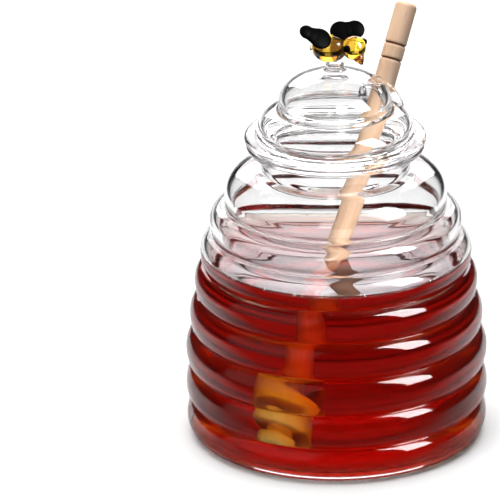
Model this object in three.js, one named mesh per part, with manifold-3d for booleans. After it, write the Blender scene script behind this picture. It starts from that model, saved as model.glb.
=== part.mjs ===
// A beehive-shaped glass honey jar with its domed glass lid, the honey in it, the wooden
// dipper that leans through the hole in the lid, and the little glass bee on top.
// Millimetres, +Z up, origin at the centre of the foot, on the surface the jar stands on.
// The viewer of the usual picture stands at -Y and looks along +Y.
import * as THREE from "three";
import { mergeVertices } from "three/addons/utils/BufferGeometryUtils.js";
import Module from "manifold-3d";

const wasm = await Module();
wasm.setup();

// Driving dimensions

const ROUND = 24; // facets round the jar, the lid and the honey, a multiple of 4
const ROD_ROUND = 16; // facets round the dipper
const GAP = 0.3; // air left between two pieces that touch
const WALL = 2.5; // blown glass wall of the jar
const LID_WALL = 2.2; // blown glass wall of the lid
const FLOOR = 3.4; // height of the glass floor inside the jar

// The ribs from the foot up: height of each crest, and its radius.
const RIBS = [
  { z: 7, r: 54.65 },
  { z: 19.2, r: 55 },
  { z: 33, r: 54.95 },
  { z: 46.3, r: 53.4 },
  { z: 59.3, r: 51.5 },
  { z: 70.4, r: 49.4 },
  { z: 82.6, r: 45.7 },
  { z: 92.5, r: 40.4 },
];
const RIB_DEPTH = 3.4; // crest to groove
const GROOVE_ANGLE = 78; // degrees of each rib's round side that show before the groove
const FOOT_RADIUS = 49;
const PUSH_UP = { r: 40, h: 1.5 }; // the hollow under the foot
const SHOULDER = { r: 28, z: 102.5 }; // where the shoulder turns up into the neck
const NECK_RADIUS = 26.5;
const LIP = { r: 32.3, low: 109.8, high: 111.9 };
// The round inside corner at the floor: its centre's radius, and its width and height.
const CORNER = { r: 45, wide: 7, high: 4.6 };
const CORNER_TOP = FLOOR + CORNER.high;
const HONEY_LEVEL = 70.2;

const FLANGE = { r: 33, low: LIP.high + GAP, high: 115.1 };
const SKIRT = { out: 23.7, wall: 1.8, low: 107.7 }; // ring that centres the lid in the neck
const LOWER_TIER = { r: 28.4, z: 117.7, h: 10.5 };
const UPPER_TIER = { r: 20.5, z: 127.7, h: 11.2 };
const STEM = { r: 3.2, top: 142 };
const HOLE = { r: 7.2, rim: 2.1, reach: 2.4, depth: 11 }; // the hole for the dipper's handle

const HOLE_CENTRE = new THREE.Vector3(16.9, 15.8, 123.3);
const HOLE_AXIS = new THREE.Vector3(0.65, 0.58, 0.49).normalize();

const HEAD_CENTRE = new THREE.Vector3(-16, -31, 23.4); // middle of the dipper's head
const HANDLE_AT_HOLE = new THREE.Vector3(16.6, 15.5, 123); // the handle's axis in the hole
const HANDLE = { r: 4, beyond: 35.6, round: 1.5 }; // beyond: length above the hole
const HANDLE_RINGS = { first: 15.7, apart: 5.6, width: 0.8, depth: 0.45 }; // cut below the top
const DISCS = [7.6, 10.3, 11.5, 11.5, 10.6, 9]; // radii of the head's discs from the tip
const DISC = { thick: 2.9, pitch: 5, core: 4.6, edge: 0.6 };

const BEE_HEADING = new THREE.Vector3(0.89, -0.43, 0.12).normalize();
const BODY = { centre: new THREE.Vector3(-1.9, 0.4, 147.5), long: 6.6, r: 5.1 };
const HEAD = { centre: new THREE.Vector3(6.9, -4.2, 149.3), r: 4.4 };
const EYE_RADIUS = 1.35;
const EYE_LEFT = new THREE.Vector3(0.75, 0.6, 0.28).normalize();
const EYE_RIGHT = new THREE.Vector3(-0.6, -0.77, 0.19).normalize();
const SNOUT = { way: new THREE.Vector3(2.87, -3.7, -5.2).normalize(), r: 2, long: 2.8 };
const TAIL = { r: 1.5, long: 3 };

// Each wing is two lobes of one flat piece: root is the middle of the large one, along the
// way to the small one, and face the way that the flat side looks.
const WING = { thick: 1.7, large: 3.9, apart: 5.2 };
const WING_LEFT = {
  root: new THREE.Vector3(2.2, 3.4, 153.1),
  along: new THREE.Vector3(0.95, 0.1, 0.12),
  face: new THREE.Vector3(0.1, -0.75, 0.66),
  small: 3.5,
};
const WING_RIGHT = {
  root: new THREE.Vector3(-5.4, -2.6, 152.4),
  along: new THREE.Vector3(-0.9, 0.25, 0.4),
  face: new THREE.Vector3(0.3, -0.6, 0.74),
  small: 2.8,
};

// Outlines, as lists of [radius, height]

const degrees = THREE.MathUtils.degToRad;

// Points on an arc of an ellipse, from one angle to another: 0 points outwards, 90 up.
function arc(r, z, wide, high, from, to, steps) {
  const points = [];
  for (let i = 0; i <= steps; i++) {
    const a = degrees(from + ((to - from) * i) / steps);
    points.push([r + wide * Math.cos(a), z + high * Math.sin(a)]);
  }
  return points;
}

const grooveRadius = (i) => (RIBS[i].r + RIBS[i + 1].r) / 2 - RIB_DEPTH;
const grooveHeight = (i) => (RIBS[i].z + RIBS[i + 1].z) / 2;

// One side of a rib, from the crest of rib i towards the groove above or below it.
function ribSide(i, up, steps) {
  const groove = up ? i : i - 1;
  const r = grooveRadius(groove);
  const z = RIBS[i].z;
  const side = arc(r, z, RIBS[i].r - r, grooveHeight(groove) - z, 0, GROOVE_ANGLE, steps);
  return up ? side : side.reverse();
}

// The jar's outside from the crest of the lowest rib to the crest of the shoulder.
function ribbedOutside(steps) {
  const points = [[RIBS[0].r, RIBS[0].z]];
  RIBS.forEach((rib, i) => {
    if (i > 0) points.push(...ribSide(i, false, steps));
    if (i < RIBS.length - 1) points.push(...ribSide(i, true, steps).slice(1));
  });
  return points;
}

// The ribbed outside again in fine steps, to measure the wall's thickness from.
const FINE = 24;
const fineOutside = ribbedOutside(FINE).flatMap(([r, z], i, all) => {
  const [r1, z1] = all[i + 1] ?? [r, z];
  return [0, 0.25, 0.5, 0.75].map((t) => [r + (r1 - r) * t, z + (z1 - z) * t]);
});

// The radius at a height that lies an inset in from the ribbed outside.
function insideRadius(inset, height) {
  const near = fineOutside.filter(([, z]) => Math.abs(z - height) < inset);
  return Math.min(...near.map(([r, z]) => r - Math.sqrt(inset ** 2 - (z - height) ** 2)));
}

// The jar's inside keeps an even distance from the ribs. Heights from low to high.
function ribbedInside(inset, low, high) {
  const stepsPerRib = 6;
  const heights = RIBS.slice(1).flatMap((rib, i) =>
    Array.from({ length: stepsPerRib }, (_, k) =>
      RIBS[i].z + ((rib.z - RIBS[i].z) * k) / stepsPerRib));
  return heights
    .filter((z) => z > low && z < high)
    .map((z) => [insideRadius(inset, z), z]);
}

function jarOutline() {
  const [low, shoulder] = [RIBS[0], RIBS.at(-1)];
  const neck = NECK_RADIUS - WALL + 0.2;
  return [
    [0, PUSH_UP.h],
    [PUSH_UP.r - 12, PUSH_UP.h],
    [PUSH_UP.r, 0],
    ...arc(FOOT_RADIUS, low.z, low.r - FOOT_RADIUS, low.z, -90, 0, 4).slice(0, -1),
    ...ribbedOutside(3),
    ...arc(SHOULDER.r, shoulder.z, shoulder.r - SHOULDER.r, SHOULDER.z - shoulder.z, 0, 84, 5)
      .slice(1),
    [NECK_RADIUS, SHOULDER.z + 1.7],
    [NECK_RADIUS, LIP.low - 2],
    [NECK_RADIUS + 1.6, LIP.low - 0.3],
    ...arc(LIP.r - 1, (LIP.low + LIP.high) / 2, 1, (LIP.high - LIP.low) / 2, -90, 90, 4),
    [neck + 0.8, LIP.high],
    [neck, LIP.high - 0.8],
    [neck, SHOULDER.z + 0.6],
    ...arc(SHOULDER.r - 1.2, shoulder.z - 0.4, shoulder.r - SHOULDER.r - WALL + 1.2,
      SHOULDER.z - shoulder.z - WALL + 0.4, 84, 10, 4),
    ...ribbedInside(WALL, CORNER_TOP, shoulder.z - 1).reverse(),
    ...arc(CORNER.r, FLOOR + CORNER.high, CORNER.wide, CORNER.high, -10, -90, 4),
    [0, FLOOR],
  ];
}

function honeyOutline() {
  const inset = WALL + GAP;
  return [
    [0, FLOOR + GAP],
    ...arc(CORNER.r, FLOOR + CORNER.high, CORNER.wide - GAP, CORNER.high - GAP, -90, -30, 3),
    ...ribbedInside(inset, CORNER_TOP, HONEY_LEVEL - 0.3),
    [insideRadius(inset, HONEY_LEVEL), HONEY_LEVEL],
    [0, HONEY_LEVEL],
  ];
}

function lidOutline() {
  const inner = (tier) => [tier.r - LID_WALL, tier.h - LID_WALL];
  const [lowerIn, lowerHigh] = inner(LOWER_TIER);
  const [upperIn, upperHigh] = inner(UPPER_TIER);
  const edge = (FLANGE.high - FLANGE.low) / 2;
  const { out, wall, low } = SKIRT;
  return [
    [0, UPPER_TIER.z + upperHigh],
    ...arc(0, UPPER_TIER.z, upperIn, upperHigh, 90, 0, 6).slice(1),
    [upperIn - 0.2, UPPER_TIER.z - 2.9],
    ...arc(0, LOWER_TIER.z, lowerIn, lowerHigh, 44, 0, 4),
    [out - wall + 1.5, FLANGE.low + 2],
    [out - wall, FLANGE.low],
    [out - wall, low + 0.5],
    [out - wall + 0.5, low],
    [out - 0.5, low],
    [out, low + 0.5],
    [out, FLANGE.low],
    ...arc(FLANGE.r - edge, FLANGE.low + edge, edge, edge, -90, 90, 5),
    [LOWER_TIER.r + 0.3, FLANGE.high],
    [LOWER_TIER.r - 0.1, FLANGE.high + 0.8],
    ...arc(0, LOWER_TIER.z, LOWER_TIER.r, LOWER_TIER.h, 0, 43, 5),
    [UPPER_TIER.r - 0.3, LOWER_TIER.z + 7.9],
    ...arc(0, UPPER_TIER.z, UPPER_TIER.r, UPPER_TIER.h, 0, 72, 6),
    [STEM.r + 0.7, UPPER_TIER.z + UPPER_TIER.h + 0.7],
    [STEM.r, UPPER_TIER.z + UPPER_TIER.h + 2],
    [STEM.r + 0.3, STEM.top - 0.5],
    [STEM.r - 0.8, STEM.top],
    [0, STEM.top],
  ];
}

// The dipper lies along its own axis from the tip at 0 to the top of the handle.
const HEAD_LENGTH = (DISCS.length - 1) * DISC.pitch + DISC.thick;
const DIPPER_AXIS = HANDLE_AT_HOLE.clone().sub(HEAD_CENTRE);
const DIPPER_LENGTH = HEAD_LENGTH / 2 + DIPPER_AXIS.length() + HANDLE.beyond;

function dipperOutline() {
  const { thick, pitch, core, edge } = DISC;
  const points = [[0, 0]];
  DISCS.forEach((r, i) => {
    const z = i * pitch;
    points.push([r - edge, z], [r, z + edge], [r, z + thick - edge], [r - edge, z + thick]);
    const last = i === DISCS.length - 1;
    points.push([last ? core + 1.6 : core, z + thick]);
    if (!last) points.push([core, z + pitch]);
  });
  points.push([HANDLE.r, HEAD_LENGTH + 5]);
  for (const n of [1, 0]) {
    const z = DIPPER_LENGTH - HANDLE_RINGS.first - n * HANDLE_RINGS.apart;
    const half = HANDLE_RINGS.width / 2;
    points.push([HANDLE.r, z - half], [HANDLE.r - HANDLE_RINGS.depth, z], [HANDLE.r, z + half]);
  }
  const { r, round } = HANDLE;
  points.push(...arc(r - round, DIPPER_LENGTH - round, round, round, 0, 80, 3));
  points.push([0, DIPPER_LENGTH]);
  return points;
}

// The room that the dipper takes up in the honey, with the gap round it.
function dipperRoomOutline() {
  const head = DISCS.flatMap((r, i) => {
    const [low, high] = [i * DISC.pitch, i * DISC.pitch + DISC.thick];
    return [[r + GAP, low + DISC.edge - GAP], [r + GAP, high + GAP]];
  });
  return [
    [0, -GAP],
    [DISCS[0] - DISC.edge + GAP / 2, -GAP],
    ...head,
    [HANDLE.r + 2.2 + GAP, HEAD_LENGTH + GAP],
    [HANDLE.r + GAP, HEAD_LENGTH + 5],
    [HANDLE.r + GAP, DIPPER_LENGTH],
    [0, DIPPER_LENGTH],
  ];
}

// Solids

const UP = new THREE.Vector3(0, 0, 1);

// An outline turned round the Z axis. three.js turns it round Y, so the result is stood up.
function turned(outline, round) {
  const points = outline.map(([r, z]) => new THREE.Vector2(Math.max(r, 0), z));
  const geometry = new THREE.LatheGeometry(points, round);
  geometry.rotateX(Math.PI / 2);
  return geometry;
}

function toSolid(geometry) {
  const bare = geometry.clone();
  bare.deleteAttribute("normal");
  bare.deleteAttribute("uv");
  const merged = mergeVertices(bare, 1e-4);
  return new wasm.Manifold(
    new wasm.Mesh({
      numProp: 3,
      vertProperties: merged.attributes.position.array,
      triVerts: new Uint32Array(merged.index.array),
    }),
  );
}

function toGeometry(solid) {
  const mesh = solid.getMesh();
  const geometry = new THREE.BufferGeometry();
  geometry.setAttribute("position", new THREE.BufferAttribute(mesh.vertProperties, 3));
  geometry.setIndex(new THREE.BufferAttribute(mesh.triVerts, 1));
  geometry.computeVertexNormals();
  return geometry;
}

// Turns a geometry made along Z to lie along a direction, with its zero at a point.
function laid(geometry, point, way) {
  const turn = new THREE.Quaternion().setFromUnitVectors(UP, way.clone().normalize());
  return geometry.applyQuaternion(turn).translate(point.x, point.y, point.z);
}

const dipperStart = HEAD_CENTRE.clone().addScaledVector(
  DIPPER_AXIS.clone().normalize(),
  -HEAD_LENGTH / 2,
);

function honeyGeometry() {
  const room = laid(turned(dipperRoomOutline(), ROD_ROUND), dipperStart, DIPPER_AXIS);
  return toGeometry(toSolid(turned(honeyOutline(), ROUND)).subtract(toSolid(room)));
}

// The lid with its stem, and the hole for the handle with a thick fire-polished rim.
function lidGeometry() {
  const { r, rim, reach, depth } = HOLE;
  const collar = [
    [0, -2.6],
    [r + 0.8, -2.6],
    ...arc(r + rim / 2, reach - rim / 2, rim / 2 + 0.2, rim / 2, 0, 90, 2),
    [0, reach],
  ];
  const bore = [
    [0, -depth],
    [r, -depth],
    [r, reach - 0.7],
    [r + 0.7, reach + 0.6],
    [0, reach + 0.6],
  ];
  const place = (outline) => toSolid(laid(turned(outline, 20), HOLE_CENTRE, HOLE_AXIS));
  return toGeometry(
    toSolid(turned(lidOutline(), ROUND)).add(place(collar)).subtract(place(bore)),
  );
}

// A ball stretched along a direction.
function ball(centre, r, long, way, round) {
  const geometry = new THREE.SphereGeometry(r, round, Math.round(round * 0.6));
  geometry.rotateX(Math.PI / 2).scale(1, 1, long / r);
  return laid(geometry, centre, way);
}

// What stands off a round body: the piece with the body, grown by the gap, cut away from it.
function clearOf(geometry, ...bodies) {
  return toGeometry(bodies.reduce((s, b) => s.subtract(toSolid(b)), toSolid(geometry)));
}

const beeBody = (grow = 0) => ball(BODY.centre, BODY.r + grow, BODY.long + grow, BEE_HEADING, 16);
const beeHead = (grow = 0) => ball(HEAD.centre, HEAD.r + grow, HEAD.r + grow, UP, 16);

// A wing stands off the body and the head.
function wingGeometry({ root, along, face, small }) {
  const { thick, large, apart } = WING;
  const flatWay = face.clone().normalize();
  const lobeWay = along.clone().addScaledVector(flatWay, -along.dot(flatWay)).normalize();
  const lobe = (r, distance, flat) => {
    const g = new THREE.SphereGeometry(r, 12, 6);
    g.rotateX(Math.PI / 2).scale(1, 1, flat / r);
    return toSolid(laid(g, root.clone().addScaledVector(lobeWay, distance), flatWay));
  };
  const wing = lobe(large, 0, thick / 2).add(lobe(small, apart, thick / 2 - 0.1));
  return clearOf(toGeometry(wing), beeBody(GAP), beeHead(GAP));
}

// The scene graph

const jarWithSpoon = new THREE.Group();

function material(color, roughness, look = {}) {
  return new THREE.MeshStandardMaterial({ color, roughness, metalness: 0, ...look });
}

const clearGlass = material(0xeef2f2, 0.03, { transparent: true, opacity: 0.35 });
const darkHoney = material(0x8f0f08, 0.08, { transparent: true, opacity: 0.9 });
const beech = material(0xd9b48f, 0.6);
const amberGlass = material(0xd99a12, 0.06);
const brownGlass = material(0x5a2a0a, 0.08);
const paleGlass = material(0xeadf9a, 0.06);
const blackGlass = material(0x0a0a0a, 0.25);

function addPiece(name, geometry, look) {
  const mesh = new THREE.Mesh(geometry, look);
  mesh.name = name;
  jarWithSpoon.add(mesh);
  return mesh;
}

addPiece("jar", turned(jarOutline(), ROUND), clearGlass);
addPiece("honey", honeyGeometry(), darkHoney);
addPiece("lid", lidGeometry(), clearGlass);
const dipper = addPiece("dipper", turned(dipperOutline(), ROD_ROUND), beech);
dipper.quaternion.setFromUnitVectors(UP, DIPPER_AXIS.clone().normalize());
dipper.position.copy(dipperStart);

// The stem's top grown by the gap, which the bee's body sits on.
const stemTop = turned([[0, UPPER_TIER.z], [STEM.r + 1, UPPER_TIER.z],
  [STEM.r + 1, STEM.top + GAP], [0, STEM.top + GAP]], 20);
addPiece("bee_body", clearOf(beeBody(), beeHead(GAP), stemTop), amberGlass);
addPiece("bee_head", beeHead(), amberGlass);

function eye(way) {
  const centre = HEAD.centre.clone().addScaledVector(way, HEAD.r + 0.1);
  return clearOf(ball(centre, EYE_RADIUS, EYE_RADIUS, UP, 8), beeHead(GAP), beeBody(GAP));
}
addPiece("bee_eye_left", eye(EYE_LEFT), blackGlass);
addPiece("bee_eye_right", eye(EYE_RIGHT), blackGlass);

const snoutOutline = [[0, -1.5], [SNOUT.r, -1.5], [SNOUT.r - 0.2, 0.6],
  [0.8, SNOUT.long - 0.5], [0.4, SNOUT.long], [0, SNOUT.long]];
const snoutFoot = HEAD.centre.clone().addScaledVector(SNOUT.way, HEAD.r - 0.3);
addPiece("bee_snout",
  clearOf(laid(turned(snoutOutline, 10), snoutFoot, SNOUT.way), beeHead(GAP)), brownGlass);

const tailFoot = BODY.centre.clone().addScaledVector(BEE_HEADING, -BODY.long + 0.2);
addPiece("bee_tail",
  clearOf(ball(tailFoot, TAIL.r, TAIL.long / 2, BEE_HEADING, 8), beeBody(GAP)), paleGlass);

addPiece("bee_wing_left", wingGeometry(WING_LEFT), blackGlass);
addPiece("bee_wing_right", wingGeometry(WING_RIGHT), blackGlass);

export default jarWithSpoon;
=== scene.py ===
# %% [markdown]
# # A honey jar with its dipper
#
# This lesson dresses a packed construction model. The model already holds every piece at its
# real size: a ribbed glass jar, a domed glass lid with a bee on top, the honey and a turned
# beech dipper. Here each piece gets its fine surface and its finish. All lengths below are
# written in millimetres, as on a workshop drawing, and `mm()` turns them into Blender's metres.

# %% Load the frame
import math
import random

import bpy
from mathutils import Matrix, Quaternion, Vector


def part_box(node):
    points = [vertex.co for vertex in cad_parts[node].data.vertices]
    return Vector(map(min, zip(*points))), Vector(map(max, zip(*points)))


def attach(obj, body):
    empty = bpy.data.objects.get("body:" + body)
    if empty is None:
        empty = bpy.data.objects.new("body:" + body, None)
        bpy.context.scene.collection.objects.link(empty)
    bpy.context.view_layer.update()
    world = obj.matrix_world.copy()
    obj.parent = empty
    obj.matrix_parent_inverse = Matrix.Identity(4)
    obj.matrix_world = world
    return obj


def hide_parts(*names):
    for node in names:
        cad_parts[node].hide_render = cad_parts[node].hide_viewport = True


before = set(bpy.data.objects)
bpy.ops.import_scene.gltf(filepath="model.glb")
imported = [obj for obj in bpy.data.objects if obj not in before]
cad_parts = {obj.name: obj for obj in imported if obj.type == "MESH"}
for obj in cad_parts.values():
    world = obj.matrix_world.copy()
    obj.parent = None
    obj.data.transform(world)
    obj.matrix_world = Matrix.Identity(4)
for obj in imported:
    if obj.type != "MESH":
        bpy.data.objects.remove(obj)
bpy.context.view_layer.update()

TAU = 2 * math.pi


def mm(*values):
    """Millimetres to metres: one number, or a Vector of three."""
    scaled = [v * 0.001 for v in values]
    return scaled[0] if len(scaled) == 1 else Vector(scaled)


print("construction model:", sorted(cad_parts))

# %% [markdown]
# ## The driving dimensions
#
# A beehive jar is a stack of round ribs on one curved outline, so a list of the ribs' heights
# and radii says nearly everything about it. The heights aren't quite even, because the real
# jar is blown into a mould and settles. The lid is two half-ellipses on a flange. What is
# needed from the construction model is measured from it, such as the level of the honey.

# %% Sizes of the jar
RIBS = [(7.0, 54.65), (19.2, 55.0), (33.0, 54.95), (46.3, 53.4),
        (59.3, 51.5), (70.4, 49.4), (82.6, 45.7), (92.5, 40.4)]  # height, radius of a crest
RIB_DEPTH = 3.4
WALL, FLOOR = 2.5, 3.4
FOOT_RADIUS, PUSH_UP_RADIUS, PUSH_UP = 49.0, 40.0, 1.5
SHOULDER_RADIUS, SHOULDER_TOP = 28.0, 102.5
CORNER_RADIUS, CORNER_WIDE, CORNER_HIGH = 45.0, 7.0, 4.6  # the round corner at the floor
CORNER_TOP = FLOOR + CORNER_HIGH
NECK_RADIUS = 26.5
LIP_RADIUS, LIP_LOW, LIP_HIGH = 32.3, 109.8, 111.9
HONEY_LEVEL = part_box("honey")[1][2] * 1000
AROUND = 160  # steps round the jar, the lid and the honey

print("honey level, mm:", round(HONEY_LEVEL, 1))

# %% Sizes of the lid and the dipper
LID_WALL = 2.2
FLANGE_RADIUS, FLANGE_LOW, FLANGE_HIGH = 32.95, 112.2, 115.1
SKIRT_OUT, SKIRT_WALL, SKIRT_LOW = 23.7, 1.8, 107.7
LOWER_TIER = (28.4, 117.7, 10.5)  # radius, height of its middle, rise
UPPER_TIER = (20.5, 127.7, 11.2)
STEM_RADIUS, STEM_TOP = 3.2, 142.6

HOLE_CENTRE = mm(16.9, 15.8, 123.3)
HOLE_AXIS = Vector((0.65, 0.58, 0.49)).normalized()
HOLE_RADIUS = 7.2

HEAD_CENTRE = mm(-16, -31, 23.4)  # the dipper's grooved head
HANDLE_AT_HOLE = mm(16.6, 15.5, 123)
DIPPER_AXIS = (HANDLE_AT_HOLE - HEAD_CENTRE).normalized()
DISCS = [7.6, 10.3, 11.5, 11.5, 10.6, 9.0]  # radii, from the tip upwards
DISC_THICK, DISC_PITCH, DISC_CORE = 2.9, 5.0, 4.6
HANDLE_RADIUS, HANDLE_BEYOND = 4.0, 35.6

lean = math.degrees(DIPPER_AXIS.angle(Vector((0, 0, 1))))
print("the dipper leans, degrees:", round(lean, 1))

# %% [markdown]
# ## Camera
#
# The jar was photographed with a long lens from a little above, so its rims are shallow
# ellipses and its sides hardly converge. A long lens far away gives that look. The jar stands
# right of the middle, so the camera looks past its left side, level with the honey. Aiming
# beside an object makes it lean a little in the picture, and a slight roll takes that out.

# %% Camera
CAMERA_TILT = math.radians(21.8)
CAMERA_ROLL = math.radians(-0.57)
CAMERA_DISTANCE = mm(2600)
CAMERA_REACH = 100  # metres, well past the floor
SENSOR_WIDTH = 36  # millimetres
PICTURE_WIDTH = 500  # pixels
PIXELS_PER_MM = 2.752  # at the jar's middle
AIM = mm(-31.2, 0, 70.9)

camera_data = bpy.data.cameras.new("camera")
camera = bpy.data.objects.new("camera", camera_data)
bpy.context.collection.objects.link(camera)
camera_data.sensor_width = SENSOR_WIDTH
camera_data.lens = PIXELS_PER_MM * 1000 * CAMERA_DISTANCE / PICTURE_WIDTH * SENSOR_WIDTH
camera_data.clip_end = CAMERA_REACH
back = Vector((0, -math.cos(CAMERA_TILT), math.sin(CAMERA_TILT)))
camera.location = AIM + back * CAMERA_DISTANCE
turn = back.to_track_quat("Z", "Y")
camera.rotation_euler = (turn @ Quaternion((0, 0, 1), CAMERA_ROLL)).to_euler()
bpy.context.scene.camera = camera
print("lens, mm:", round(camera_data.lens, 1))

# %% [markdown]
# ## Helpers for modelling by hand
#
# Operators work on whatever is selected, so each piece starts by deselecting everything. Most
# pieces here are round, and a round piece is made the way a glass blower or a turner thinks of
# it: one outline, turned about an axis. The outline starts as a single vertex, is extruded from
# point to point, and is then spun all the way round.

# %% Selecting
def deselect():
    """Leaves edit mode and selects nothing."""
    if bpy.context.object and bpy.context.object.mode != "OBJECT":
        bpy.ops.object.mode_set(mode="OBJECT")
    bpy.ops.object.select_all(action="DESELECT")


def select_only(*pieces):
    """Selects these pieces and no other. The first one is the active one."""
    deselect()
    for piece in pieces:
        piece.select_set(True)
    bpy.context.view_layer.objects.active = pieces[0]


deselect()
print("selected now:", len(bpy.context.selected_objects))


# %% Turning a piece from its outline
SHORTEST_STEP, SAME_POINT = 0.005, 0.002


def arc(radius, height, wide, high, start, end, steps):
    """Points on an arc of an ellipse, in degrees: 0 points outwards and 90 up."""
    turns = [math.radians(start + (end - start) * i / steps) for i in range(steps + 1)]
    return [(radius + wide * math.cos(a), height + high * math.sin(a)) for a in turns]


def turned(name, outline, steps):
    """A closed round body from an outline of (radius, height), in millimetres."""
    deselect()
    bpy.ops.mesh.primitive_plane_add(size=mm(1))
    piece = bpy.context.object
    piece.name = name
    bpy.ops.object.mode_set(mode="EDIT")
    bpy.ops.mesh.merge(type="CENTER")
    points = [mm(max(r, 0), 0, z) for r, z in outline]
    bpy.ops.transform.translate(value=points[0])
    for here, there in zip(points, points[1:]):
        if (there - here).length > mm(SHORTEST_STEP):
            bpy.ops.mesh.extrude_region_move(TRANSFORM_OT_translate={"value": there - here})
    bpy.ops.mesh.select_all(action="SELECT")
    bpy.ops.mesh.spin(steps=steps, angle=TAU, center=(0, 0, 0), axis=(0, 0, 1))
    bpy.ops.mesh.select_all(action="SELECT")
    bpy.ops.mesh.remove_doubles(threshold=mm(SAME_POINT))
    bpy.ops.mesh.normals_make_consistent(inside=False)
    bpy.ops.object.mode_set(mode="OBJECT")
    bpy.ops.object.shade_smooth()
    return piece


print("an arc of three points:", [(round(r, 1), round(z, 1)) for r, z in arc(0, 0, 9, 9, 0, 90, 2)])


# %% Placing, changing and finishing a piece
def lay(piece, point, way):
    """Lays a piece that was made along Z at a point, along a direction, in its mesh."""
    piece.location = point
    piece.rotation_euler = Vector(way).to_track_quat("Z", "Y").to_euler()
    select_only(piece)
    bpy.ops.object.transform_apply(location=True, rotation=True, scale=True)
    return piece


def modify(piece, kind, **settings):
    """Adds a modifier and applies it at once."""
    select_only(piece)
    modifier = piece.modifiers.new(kind.title(), kind)
    for key, value in settings.items():
        setattr(modifier, key, value)
    bpy.ops.object.modifier_apply(modifier=modifier.name)


def discard(piece):
    """Deletes a piece that was only a tool."""
    select_only(piece)
    bpy.ops.object.delete()


def finish_piece(piece, node, material):
    """Puts a finished piece in the place of its construction solid, where it has one."""
    piece.data.materials.clear()
    piece.data.materials.append(material)
    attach(piece, "root")
    if node:
        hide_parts(node)
    print(piece.name, "has", len(piece.data.polygons), "faces")


# %% [markdown]
# ## Helpers for materials
#
# A material is a small graph: nodes with values, and links between them. It could be drawn by
# hand in the shader editor. In code, one helper adds a node and fills its inputs in one go: a
# value is set, and another node's output is linked.

# %% Adding nodes
def set_inputs(tree, node, inputs):
    """Fills a node's inputs, by name or number: an output is linked, a value is set."""
    for name, value in inputs.items():
        if isinstance(value, bpy.types.NodeSocket):
            tree.links.new(value, node.inputs[name])
        else:
            node.inputs[name].default_value = value
    return node


def add_node(tree, kind, inputs=None, **options):
    """Adds a shader node with its options and then its inputs."""
    node = tree.nodes.new("ShaderNode" + kind)
    for name, value in options.items():
        setattr(node, name, value)
    return set_inputs(tree, node, inputs or {})


def new_material(name):
    """A new material, its node tree and its main shader."""
    material = bpy.data.materials.new(name)
    material.use_nodes = True
    tree = material.node_tree
    return material, tree, tree.nodes["Principled BSDF"]


print("materials before the first one is made:", len(bpy.data.materials))


# %% Nodes that many materials use
def object_place(tree):
    """The place on the piece, in metres. All patterns here are measured by it."""
    return add_node(tree, "TexCoord").outputs["Object"]


def split_place(tree, place):
    """The same place as three numbers, X, Y and Z."""
    return add_node(tree, "SeparateXYZ", {"Vector": place}).outputs


def multiply(tree, a, b):
    return add_node(tree, "Math", {0: a, 1: b}, operation="MULTIPLY").outputs["Value"]


def mix_colours(tree, factor, a, b, blend="MIX"):
    mix = add_node(tree, "Mix", {"Factor": factor, "A": a, "B": b},
                   data_type="RGBA", blend_type=blend)
    return mix.outputs["Result"]


def colour_ramp(tree, value, stops):
    """Turns a value between 0 and 1 into colours, by a rising list of (value, colour)."""
    ramp = add_node(tree, "ValToRGB", {"Fac": value})
    while len(ramp.color_ramp.elements) < len(stops):
        ramp.color_ramp.elements.new(0.5)
    for element, (position, colour) in zip(ramp.color_ramp.elements, stops):
        element.position = position
        element.color = (*colour, 1)
    return ramp.outputs["Color"]


WHITE, BLACK = (1, 1, 1, 1), (0, 0, 0, 1)
print("plain colours:", WHITE, BLACK)

# %% [markdown]
# ## Unevenness that every finish shares
#
# Nothing made by hand is perfectly even. Fire-polished glass has slow waves, and turned wood
# has fine ones. One small node group makes both: it gives a soft noise as a height for a bump
# and a spread for the roughness, and each material feeds it its own scale.

# %% A shared node group
NOISE_DETAIL = 2


def uneven_group():
    group = bpy.data.node_groups.new("uneven_surface", "ShaderNodeTree")
    for name, value in [("Scale", 40), ("Low", 0), ("High", 1)]:
        socket = group.interface.new_socket(name, in_out="INPUT", socket_type="NodeSocketFloat")
        socket.default_value = value
    for name in ["Value", "Height"]:
        group.interface.new_socket(name, in_out="OUTPUT", socket_type="NodeSocketFloat")
    given = group.nodes.new("NodeGroupInput").outputs
    noise = add_node(group, "TexNoise", {"Vector": object_place(group), "Scale": given["Scale"],
                                         "Detail": NOISE_DETAIL}).outputs["Fac"]
    spread = add_node(group, "MapRange", {"Value": noise, "To Min": given["Low"],
                                          "To Max": given["High"]})
    results = group.nodes.new("NodeGroupOutput")
    set_inputs(group, results, {"Value": spread.outputs["Result"], "Height": noise})
    return group


UNEVEN = uneven_group()


def add_unevenness(material, scale, bump, distance, roughness=None):
    """A bump of the given strength and depth, and a roughness between a low and a high."""
    tree = material.node_tree
    shader = tree.nodes["Principled BSDF"]
    group = add_node(tree, "Group", node_tree=UNEVEN)
    set_inputs(tree, group, {"Scale": scale})
    relief = add_node(tree, "Bump", {"Strength": bump, "Distance": distance,
                                     "Height": group.outputs["Height"]})
    set_inputs(tree, shader, {"Normal": relief.outputs["Normal"]})
    if roughness:
        set_inputs(tree, group, {"Low": roughness[0], "High": roughness[1]})
        set_inputs(tree, shader, {"Roughness": group.outputs["Value"]})


print("shared node group:", UNEVEN.name)

# %% [markdown]
# ## Clear glass
#
# Borosilicate glass has no colour in so thin a wall. What makes it look like glass is the
# index of refraction and the dark studio round it, which its edges bend into view. Slow waves
# on its surface keep the reflections from looking like plastic. Where honey wets the wall,
# light hardly notices the surface, because both bend it nearly alike. So the wetted vertices
# are marked in the mesh, and the glass mirrors nothing there.

# %% Clear glass material
GLASS_IOR = 1.47


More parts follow.
